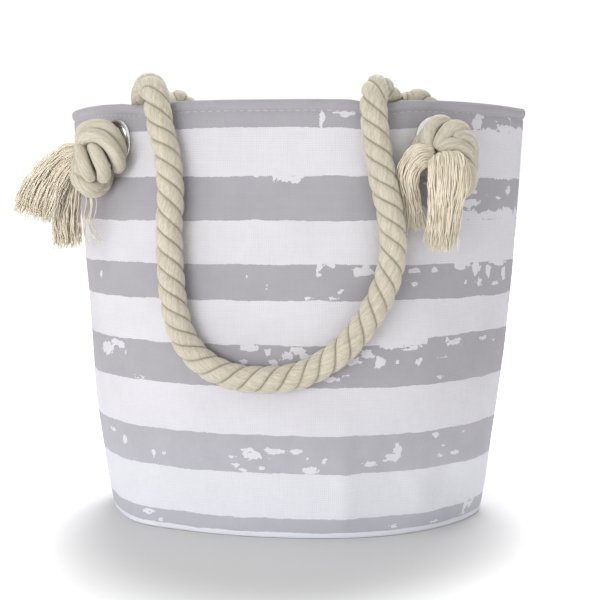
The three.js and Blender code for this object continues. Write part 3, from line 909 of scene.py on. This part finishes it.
RIGHT_ROPES = [
    (6.2, 1.0, [(0, 0, 0), (1.5, -0.2, 5.5), (2.5, -2.5, 10), (5, -6, 13), (9, -8, 12)]),
    (6.2, 0.5, [(-3, -4, 9), (1, -9, 10), (7, -12.5, 10), (12, -13, 7)]),
]


def knot_mesh(centre, strands, ropes, shift):
    """A tight overhand knot whose strands have spread apart."""
    parts = []
    for radius, points in strands:
        path = resample(catmull_rom(placed(centre, points, shift), 12), 0.7 * MM)
        parts.append(strand_mesh(path, radius * MM))
    for radius, phase, points in ropes:
        path = resample(catmull_rom(placed(centre, points, shift), 12), 0.8 * MM)
        parts.append(rope_mesh(path, radius=radius * MM, start_angle=phase))
    return merge_meshes(parts)


# The frayed ends. Each bundle is a count of yarns and the places it passes: (right, up, out) from the
# eyelet, then how wide and how deep the bundle is there.
LEFT_BUNDLES = [
    (430, [(-13, -5, 8, 5, 3), (-20, -5.5, 9, 6.5, 4.5), (-29, -14, 10, 8.5, 5), (-36, -26, 9, 10, 5),
           (-40, -38, 7, 12, 5.5)]),
    (240, [(-15, -7, 5, 4, 3), (-20, -14, 3, 5, 4), (-23, -26, 2, 6, 4), (-25, -40, 2, 7, 4),
           (-24, -54, 1, 8, 4)]),
    (6, [(-13, -22, 4, 1.5, 2), (-12, -30, 3, 3, 2), (-14, -40, 2, 3, 2), (-9, -54, 2, 5, 2)]),
]
HANGING_BUNDLES = [
    (380, [(-13, -5, 8, 5, 3), (-18, -8, 13, 6, 4.5), (-19, -20, 12, 8, 5), (-17, -34, 8, 8, 5),
           (-16, -50, 5, 9, 5.5)]),
    (160, [(-12, -7, 5, 4, 3), (-14, -14, 6, 5, 4), (-14, -26, 5, 6, 4), (-12, -42, 3, 7, 4)]),
]
RIGHT_BUNDLES = [
    (500, [(4, -5, 18, 5, 3), (5, -7.5, 25, 8.5, 4.5), (5, -18, 27.5, 9.5, 5), (4, -32, 24, 7, 4),
           (2.5, -51, 19, 7, 4)]),
    (280, [(-1, -4.5, 17, 5, 2.5), (-8, -5.5, 20, 6, 3.5), (-12.8, -13, 18, 5, 4), (-11.5, -27, 14, 5, 4),
           (-9.2, -42, 9, 6, 4)]),
    (4, [(10, -20, 12, 2, 2), (10, -27, 12, 3, 2), (8, -34, 11, 3, 2), (6, -46, 9, 4, 2)]),
]


YARN_RADIUS = (0.27 * MM, 0.40 * MM)  # the thinnest and the thickest
YARN_STEP = 1.5 * MM
YARN_KEPT = (0.84, 1.0)  # how much of its bundle's length a yarn has
WAVE_PITCH = (8 * MM, 15 * MM)
WAVE_SWING = (0.12 * MM, 0.34 * MM)
STRAY = 0.27 * MM  # how much further yarns stray at each place on the way


def loose_yarn(draw, places, widths, side, deep, out):
    """The path of one yarn: a place of its own in the bundle, a little astray, and softly wavy."""
    angle = draw.uniform(0, 2 * math.pi)
    share = math.sqrt(draw.random())
    a, b = math.cos(angle) * share, math.sin(angle) * share
    path = []
    for k, place in enumerate(places):
        stray_a = draw.gauss(0, STRAY * k)
        stray_b = draw.gauss(0, STRAY * k)
        path.append(place + side[k] * (a * widths[k, 0] + stray_a) + deep[k] * (b * widths[k, 1] + stray_b))
    path = resample(catmull_rom(path, 8), YARN_STEP)
    path = path[:max(8, int(len(path) * draw.uniform(*YARN_KEPT)))]
    along = lengths_along(path)
    pitch = draw.uniform(*WAVE_PITCH)
    swing = draw.uniform(*WAVE_SWING)
    wave = 2 * math.pi * along / pitch + draw.uniform(0, 6.28)
    ease = np.minimum(1.0, along / (12 * MM))[:, None]
    return path + (np.outer(np.cos(wave), side[2]) + np.outer(np.sin(wave * 0.7), out)) * swing * ease


def tassel_mesh(centre, bundles, shift, seed):
    """All the yarns of one frayed end."""
    draw = random.Random(seed)
    _, _, out = knot_axes()
    parts = []
    for yarns, guides in bundles:
        places = placed(centre, [g[:3] for g in guides], shift)
        widths = np.array([g[3:] for g in guides]) * MM
        heading = np.gradient(places, axis=0)
        heading /= np.linalg.norm(heading, axis=1)[:, None]
        side = np.cross(heading, out)
        side /= np.linalg.norm(side, axis=1)[:, None]
        deep = np.cross(side, heading)
        for _ in range(yarns):
            path = loose_yarn(draw, places, widths, side, deep, out)
            parts.append(yarn_mesh(path, draw.uniform(*YARN_RADIUS)))
    return merge_meshes(parts)


# ---- materials ----

class Nodes:
    """Short names for the shader nodes of one material."""

    def __init__(self, name):
        self.material = bpy.data.materials.new(name)
        self.material.use_nodes = True
        self.tree = self.material.node_tree
        self.tree.nodes.clear()
        self.shader = self.node("BsdfPrincipled")
        self.node("OutputMaterial", self.shader.outputs[0])

    def set(self, socket, value):
        """Joins a socket to another, or gives it a constant."""
        if isinstance(value, bpy.types.NodeSocket):
            self.tree.links.new(value, socket)
        else:
            socket.default_value = value

    def shade(self, **values):
        """Sets the shader's own sockets, by their names in small letters."""
        for name, value in values.items():
            self.set(self.shader.inputs[name.replace("_", " ").title().replace("Ior", "IOR")], value)

    def node(self, kind, *values):
        """A new node, with values for its first sockets."""
        node = self.tree.nodes.new("ShaderNode" + kind)
        for socket, value in zip(node.inputs, values):
            self.set(socket, value)
        return node

    def math(self, operation, a, b=0.0):
        node = self.node("Math", a, b)
        node.operation = operation
        return node.outputs[0]

    def add(self, a, b):
        return self.math("ADD", a, b)

    def minus(self, a, b):
        return self.math("SUBTRACT", a, b)

    def times(self, a, b):
        return self.math("MULTIPLY", a, b)

    def uv(self):
        node = self.node("UVMap")
        node.uv_map = "cloth"
        return node.outputs[0]

    def split(self, vector):
        return self.node("SeparateXYZ", vector).outputs

    def join(self, x, y):
        return self.node("CombineXYZ", x, y).outputs[0]

    def attribute(self, name):
        node = self.node("Attribute")
        node.attribute_name = name
        return node.outputs["Fac"]

    def position(self):
        return self.node("TexCoord").outputs["Object"]

    def noise(self, vector, scale, detail=2.0, roughness=0.5, distortion=0.0):
        node = self.node("TexNoise", vector)
        node.inputs["Scale"].default_value = scale
        node.inputs["Detail"].default_value = detail
        node.inputs["Roughness"].default_value = roughness
        node.inputs["Distortion"].default_value = distortion
        return node.outputs["Fac"]

    def between(self, value, low, high, out_low=0.0, out_high=1.0, smooth=True):
        """out_low where the value is low or less, out_high where it is high or more."""
        node = self.node("MapRange", value, low, high, out_low, out_high)
        node.interpolation_type = "SMOOTHSTEP" if smooth else "LINEAR"
        return node.outputs["Result"]

    def mix(self, share, a, b):
        """Colour a, or colour b where the share is 1."""
        node = self.node("Mix", share)
        node.data_type = "RGBA"
        self.set(node.inputs[6], a)
        self.set(node.inputs[7], b)
        return node.outputs[2]

    def crevice(self, distance):
        """1 in the open, falling to 0 where other surfaces are close around."""
        node = self.node("AmbientOcclusion")
        node.samples = 6
        node.inputs["Distance"].default_value = distance
        return node.outputs["AO"]

    def bump(self, height, distance, strength):
        node = self.node("Bump")
        node.inputs["Strength"].default_value = strength
        node.inputs["Distance"].default_value = distance
        self.set(node.inputs["Height"], height)
        return node.outputs[0]


def colour(red, green, blue):
    """A linear colour from display values of 0 to 255, none of them near black."""
    return (*(((value / 255 + 0.055) / 1.055) ** 2.4 for value in (red, green, blue)), 1.0)


def shifted(base, red, green, blue):
    """A colour that differs a little from a base's display values."""
    return colour(base[0] + red, base[1] + green, base[2] + blue)


def weave_height(n, across, up, pitch):
    """Plain weave: warp and weft threads that pass over each other in turn."""
    turn = 2 * math.pi / pitch / 2
    wave_x = n.math("SINE", n.times(across, turn))
    wave_y = n.math("SINE", n.times(up, turn))
    over = n.between(n.times(wave_x, wave_y), -0.25, 0.25)
    warp = n.times(n.math("ABSOLUTE", wave_x), over)
    weft = n.times(n.math("ABSOLUTE", wave_y), n.minus(1.0, over))
    return n.add(warp, weft)


# Printed bands, lower and upper edge in mm above the base.
BANDS = [(3.2, 10.8), (34.3, 53.8), (77.8, 98.3), (120.1, 137.5), (158.7, 180.2), (202.2, 230.0)]
STEPPED_BAND = 2  # towards the right its top is printed a little higher
STEP_PLACE = (81.6 * MM, 82.2 * MM)
STEP_HEIGHT = 3.4 * MM
EDGE_BLUR = 0.12  # in mm


def printed_share(n, across, up, cloth):
    """Where the grey print lies: bands with ragged edges, less the worn places."""
    wander = n.times(n.minus(n.noise(cloth, 55, 3, 0.55), 0.5), 2.6 * MM)
    ragged = n.times(n.minus(n.noise(cloth, 420, 2, 0.6), 0.5), 0.9 * MM)
    height = n.add(up, n.add(wander, ragged))
    stepped = n.minus(height, n.between(across, *STEP_PLACE, 0.0, STEP_HEIGHT))
    bands = 0.0
    for number, (low, high) in enumerate(BANDS):
        above = n.between(height, (low - EDGE_BLUR) * MM, (low + EDGE_BLUR) * MM)
        top = stepped if number == STEPPED_BAND else height
        below = n.between(top, (high + EDGE_BLUR) * MM, (high - EDGE_BLUR) * MM)
        bands = n.math("MAXIMUM", bands, n.times(above, below))
    blots = n.noise(n.join(n.times(across, 0.72), up), 190, 3.5, 0.55, 0.45)
    flecks = n.noise(cloth, 520, 1.5, 0.5)
    pattern = n.add(n.times(blots, 0.76), n.times(flecks, 0.24))
    limit = n.between(n.attribute("worn"), 0.0, 1.0, 0.80, 0.33, smooth=False)
    chipped = n.between(n.minus(pattern, limit), -0.008, 0.008)
    return n.times(bands, n.minus(1.0, chipped))


def canvas_material(name, printed, white=(214, 212, 217), grey=(166, 163, 169)):
    """Plain-weave cotton, printed or not, that is a little uneven from thread to thread."""
    n = Nodes(name)
    cloth = n.uv()
    across, up, _ = n.split(cloth)
    weave = weave_height(n, across, up, 1.05 * MM)
    slubs = n.noise(n.join(n.times(across, 0.12), up), 900, 2, 0.6)
    slubs_up = n.noise(n.join(across, n.times(up, 0.12)), 900, 2, 0.6)
    cloud = n.noise(cloth, 18, 3, 0.6)
    base = n.mix(n.between(cloud, 0.35, 0.7), colour(*white), shifted(white, -7, -7, -7))
    if printed:
        patchy = n.between(n.noise(cloth, 70, 3, 0.6), 0.3, 0.75)
        paint = n.mix(patchy, colour(*grey), shifted(grey, 9, 9, 9))
        # the paint is deeper above; near the base both paint and white are lighter and bluer, which is
        # painted light, as from the floor's bounce
        paint = n.mix(n.between(up, 0.03, 0.10, 0.0, 0.62), paint, shifted(grey, -17, -17, -17))
        # painted light: paint and white are lighter and bluer towards the base
        foot = n.between(up, 0.0, 0.085, 0.65, 0.0)
        paint = n.mix(foot, paint, shifted(grey, 14, 17, 22))
        base = n.mix(foot, base, shifted(white, 13, 17, 20))
        # the print sits on the top of the threads, so the white shows faintly between them
        cover = n.between(weave, 0.0, 0.75, 0.80, 1.0)
        ink = printed_share(n, across, up, cloth)
        base = n.mix(n.times(ink, cover), base, paint)
    threads = n.times(n.add(slubs, slubs_up), 0.5)
    raised = n.add(n.times(weave, 0.6), n.times(threads, 0.8))
    # painted shade: the hollows between the raised threads are darkened towards dark grey
    weave_hollow_shade = n.minus(1.0, n.between(raised, 0.25, 1.15))
    base = n.mix(n.times(weave_hollow_shade, 0.22), base, (0.25, 0.25, 0.27, 1.0))
    height = n.add(weave, n.times(threads, 0.5))
    n.shade(base_color=base, roughness=0.92, normal=n.bump(height, 0.16 * MM, 0.8))
    n.shade(sheen_weight=0.12, sheen_roughness=0.6)
    return n.material


def rope_material():
    """Cotton strands: fibres and yarns along each, with painted shade in crevices and in the grooves where
    the strands press together.
    """
    n = Nodes("cotton_rope")
    around, along, _ = n.split(n.uv())
    fibres = n.noise(n.join(around, n.times(along, 0.16)), 2300, 3, 0.7)
    yarns = n.noise(n.join(around, n.times(along, 0.07)), 760, 2, 0.5)
    cloud = n.noise(n.position(), 60, 3, 0.6)
    grain = n.add(n.times(fibres, 0.6), n.times(yarns, 0.4))
    base = n.mix(n.between(grain, 0.34, 0.62), colour(170, 161, 142), colour(204, 197, 180))
    base = n.mix(n.between(cloud, 0.3, 0.75, 0.0, 0.35), base, colour(190, 182, 162))
    # painted shade: darker brown where other rope surfaces close round, from ambient occlusion
    crevice_shade = n.between(n.crevice(4 * MM), 0.1, 0.62, 0.75, 0.0)
    base = n.mix(crevice_shade, base, colour(112, 98, 74))
    # painted shade: the grooves between the strands are darkened
    deep = n.between(n.attribute("groove"), 0.74, 1.0, 0.0, 0.5)
    base = n.mix(deep, base, colour(120, 108, 86))
    n.shade(base_color=base, roughness=0.9, normal=n.bump(grain, 0.7 * MM, 0.75))
    n.shade(sheen_weight=0.3, sheen_roughness=0.5)
    return n.material


def yarn_material():
    """Loose cotton yarns, with painted shade deep inside the bundle."""
    n = Nodes("cotton_yarn")
    twist = n.noise(n.uv(), 900, 2, 0.6)
    tone = n.noise(n.position(), 160, 2, 0.6)
    base = n.mix(n.between(tone, 0.3, 0.7), colour(217, 206, 183), colour(236, 227, 209))
    base = n.mix(n.between(twist, 0.4, 0.7, 0.0, 0.3), base, colour(198, 182, 154))
    # painted shade: darker brown deep in the bundle, from ambient occlusion
    crevice_shade = n.between(n.crevice(2.4 * MM), 0.05, 0.5, 0.35, 0.0)
    base = n.mix(crevice_shade, base, colour(140, 122, 92))
    n.shade(base_color=base, roughness=0.9, normal=n.bump(twist, 0.15 * MM, 0.6), sheen_weight=0.3)
    return n.material


def thread_material():
    """Grey sewing thread."""
    n = Nodes("thread")
    fuzz = n.noise(n.position(), 2600, 2, 0.5)
    base = n.mix(n.between(fuzz, 0.3, 0.7), colour(196, 194, 198), colour(178, 176, 181))
    n.shade(base_color=base, roughness=0.7, normal=n.bump(fuzz, 0.1 * MM, 0.5))
    return n.material


def metal_material():
    """Polished nickel plate, a little smudged."""
    n = Nodes("eyelet_metal")
    wear = n.noise(n.position(), 900, 3, 0.6)
    smudge = n.noise(n.position(), 150, 2, 0.5)
    base = n.mix(n.between(smudge, 0.35, 0.7), (0.78, 0.77, 0.76, 1.0), (0.68, 0.67, 0.66, 1.0))
    rough = n.between(wear, 0.3, 0.8, 0.12, 0.26)
    n.shade(base_color=base, metallic=1.0, roughness=rough, normal=n.bump(wear, 0.03 * MM, 0.3))
    return n.material


def board_material():
    """Plain fibre board."""
    n = Nodes("stiffener_board")
    fibre = n.noise(n.position(), 300, 4, 0.65)
    base = n.mix(fibre, colour(172, 160, 138), colour(196, 186, 166))
    n.shade(base_color=base, roughness=0.85, normal=n.bump(fibre, 0.2 * MM, 0.5))
    return n.material


def make_materials():
    return {
        "printed_canvas": canvas_material("printed_canvas", printed=True),
        "plain_canvas": canvas_material("plain_canvas", printed=False),
        "lining_fabric": canvas_material("lining_fabric", printed=False, white=(214, 210, 203)),
        "stiffener_board": board_material(),
        "eyelet_metal": metal_material(),
        "cotton_rope": rope_material(),
        "cotton_yarn": yarn_material(),
        "thread": thread_material(),
    }


# ---- studio ----

AMBIENT = 0.825  # strength of the light from all round
WHITE = (1.0, 1.0, 1.0, 1.0)


def studio_world():
    """White to the camera. It lights more from above than from below, and its reflections darken
    towards the left."""
    world = bpy.data.worlds.new("studio")
    world.use_nodes = True
    tree = world.node_tree
    tree.nodes.clear()
    join = tree.links.new

    def ramp(source, low, dark, high):
        """From a dark colour where the source is low to white where it is high."""
        node = tree.nodes.new("ShaderNodeValToRGB")
        stops = node.color_ramp.elements
        stops[0].position, stops[0].color = low, dark
        stops[1].position, stops[1].color = high, WHITE
        join(source, node.inputs[0])
        return node.outputs[0]

    def background(strength, source=None):
        node = tree.nodes.new("ShaderNodeBackground")
        node.inputs["Color"].default_value = WHITE
        node.inputs["Strength"].default_value = strength
        if source is not None:
            join(source, node.inputs["Color"])
        return node.outputs[0]

    def choose(share, first, second):
        node = tree.nodes.new("ShaderNodeMixShader")
        for socket, source in zip(node.inputs, (share, first, second)):
            join(source, socket)
        return node.outputs[0]

    rays = tree.nodes.new("ShaderNodeLightPath").outputs
    direction = tree.nodes.new("ShaderNodeSeparateXYZ")
    join(tree.nodes.new("ShaderNodeTexCoord").outputs["Generated"], direction.inputs[0])
    rightness = tree.nodes.new("ShaderNodeMath")
    rightness.operation = "MULTIPLY_ADD"
    rightness.inputs[1].default_value = 0.5
    rightness.inputs[2].default_value = 0.5
    join(direction.outputs[0], rightness.inputs[0])

    light = background(AMBIENT, ramp(direction.outputs[2], 0.0, (0.55, 0.55, 0.56, 1.0), 0.75))
    mirrored = background(1.0, ramp(rightness.outputs[0], 0.06, (0.07, 0.06, 0.05, 1.0), 0.34))
    unseen = choose(rays["Is Glossy Ray"], light, mirrored)
    shown = choose(rays["Is Camera Ray"], unseen, background(1.02))
    join(shown, tree.nodes.new("ShaderNodeOutputWorld").inputs["Surface"])
    return world


def floor_material():
    """A pale floor that fades to white in an ellipse round the bag, as the camera sees it."""
    n = Nodes("floor")
    mottle = n.noise(n.position(), 6, 2, 0.5)
    looked_at = n.node("LightPath").outputs["Is Camera Ray"]
    seen = n.mix(mottle, (0.665, 0.665, 0.67, 1.0), (0.685, 0.685, 0.69, 1.0))
    base = n.mix(looked_at, (0.95, 0.95, 0.95, 1.0), seen)
    across, away, _ = n.split(n.position())
    wide = n.math("POWER", n.math("DIVIDE", n.minus(across, 0.010), 0.120), 2.0)
    deep = n.math("POWER", n.math("DIVIDE", away, 0.175), 2.0)
    glow = n.between(n.math("SQRT", n.add(wide, deep)), 0.80, 1.62, 0.0, 1.05)
    n.shade(base_color=base, roughness=0.9, specular_ior_level=0.0)
    n.shade(emission_color=WHITE, emission_strength=n.times(glow, looked_at))
    return n.material


# Name, place, what it points at, size and power of each lamp.
LAMPS = [
    ("behind", (0.05, 0.95, 1.2), (0, 0, 0), 1.1, 24),
    ("low_front", (-0.30, -1.0, 0.05), (0, 0, 0), 0.6, 7.5),
    ("left", (-1.25, -0.75, 0.75), (0, 0, 0.12), 0.45, 2.2),
]


def make_studio():
    """The world, the floor and the lamps, none of which is part of the bag."""
    scene = bpy.context.scene
    scene.view_settings.view_transform = "Standard"
    scene.world = studio_world()
    reach = 6.0
    corners = [(-reach, -reach, 0), (reach, -reach, 0), (reach, reach, 0), (-reach, reach, 0)]
    floor = mesh_object("floor", corners, [(0, 1, 2, 3)], floor_material(), smooth=False)
    for name, place, target, size, power in LAMPS:
        data = bpy.data.lights.new(name, "AREA")
        data.size = size
        data.energy = power
        lamp = bpy.data.objects.new(name, data)
        scene.collection.objects.link(lamp)
        lamp.location = place
        lamp.rotation_euler = (Vector(target) - Vector(place)).to_track_quat("-Z", "Y").to_euler()
        lamp.visible_camera = False


# ---- assembly ----

def half_turn(points):
    """The same points on the other side of the bag."""
    return [(-p[0], -p[1], p[2]) for p in points]


def make_fittings(materials):
    """The knot and tassel outside each eyelet. The back ones are the front ones, turned half round."""
    left = (LEFT_STRANDS, LEFT_ROPES, (-1.0, -1.0, 0))
    right = (RIGHT_STRANDS, RIGHT_ROPES, (-2.2, -3.0, 0))
    recipes = {
        "front_left": ("front_left", *left, LEFT_BUNDLES, 7),
        "front_right": ("front_right", *right, RIGHT_BUNDLES, 19),
        "back_right": ("front_left", *left, HANGING_BUNDLES, 23),
        "back_left": ("front_right", *right, RIGHT_BUNDLES, 31),
    }
    fittings = {}
    for name, (model, strands, ropes, shift, bundles, seed) in recipes.items():
        centre = EYELETS[model][0]
        points, faces, uv = knot_mesh(centre, strands, ropes, shift)
        yarn_points, yarn_faces, yarn_uv = tassel_mesh(centre, bundles, shift, seed)
        if name != model:
            points, yarn_points = half_turn(points), half_turn(yarn_points)
        knot = mesh_object(f"{name}_rope_knot", points, faces, materials["cotton_rope"], uv)
        tassel = mesh_object(
            f"{name}_frayed_end", yarn_points, yarn_faces, materials["cotton_yarn"], yarn_uv
        )
        dress(knot, "cotton_rope", f"{name}_knot")
        dress(tassel, "cotton_yarn", f"{name}_tassel")
        fittings[name] = [knot, tassel]
    return fittings


# Name, route, corners that it joins, route points where its loose part starts and ends, and its side.
HANDLES = [
    ("front_handle", FRONT_ROUTE, ("front_left", "front_right"), (4, 32.5), -1),
    ("back_handle", BACK_ROUTE, ("back_right", "back_left"), (4, 35), 1),
]


def main():
    """The camera and the cords first, then the studio and the cloth."""
    make_camera()
    materials = make_materials()
    fittings = make_fittings(materials)
    for name, route, corners, splits, side in HANDLES:
        rope, legs, path = make_handle(name, route, corners, splits, materials)

    make_studio()
    for face, side in HALVES:
        panel = make_panel(face, side, materials)
        half = make_lining_half(face, side, materials)
    base, _, floor_cloth = make_base(materials)
    make_stitching(materials)
    make_eyelets(materials)


main()
